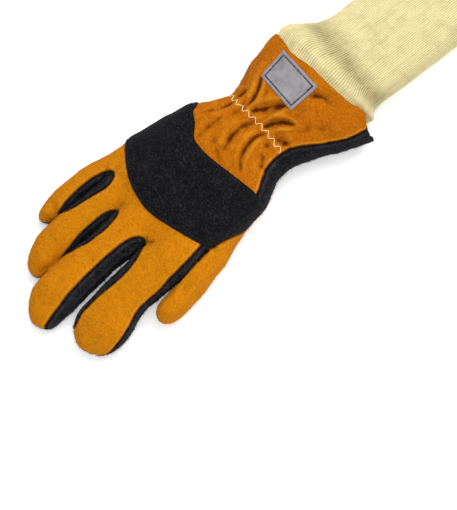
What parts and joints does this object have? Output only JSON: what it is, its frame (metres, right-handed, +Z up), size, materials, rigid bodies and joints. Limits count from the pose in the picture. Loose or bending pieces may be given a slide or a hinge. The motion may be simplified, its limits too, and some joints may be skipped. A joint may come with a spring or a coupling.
{
  "type": "firefighter glove",
  "caption": "Right-hand structural firefighting glove lying palm down: suede back, dark palm, knuckle band, flared gauntlet cuff and knit wristlet, hollow inside.",
  "frame": {"origin": "on the resting surface, below the middle of the gathered wrist line", "axes": "+Y from the wrist to the fingertips, +Z up out of the back of the hand, +X towards the little finger"},
  "size_m": [0.1284, 0.3785, 0.047],
  "materials": {
    "gold_suede": "matt split-leather suede with a short nap",
    "black_suede": "matt dark split-leather suede",
    "knuckle_felt": "matt dark suede overlay, slightly greyer",
    "label_satin": "plain satin-woven grey ribbon",
    "cream_knit": "ribbed aramid knit, soft and matt"
  },
  "bodies": {
    "root": {"back_panel": "gold_suede", "palm_panel": "black_suede", "middle_front": "black_suede", "ring_front": "black_suede", "fourchette_index_middle": "black_suede", "fourchette_middle_ring": "black_suede", "fourchette_ring_little": "black_suede", "thumb_back": "gold_suede", "thumb_front": "black_suede", "knuckle_band": "knuckle_felt", "cuff_band": "black_suede", "label": "label_satin", "wristlet": "cream_knit"}
  },
  "joints": []
}
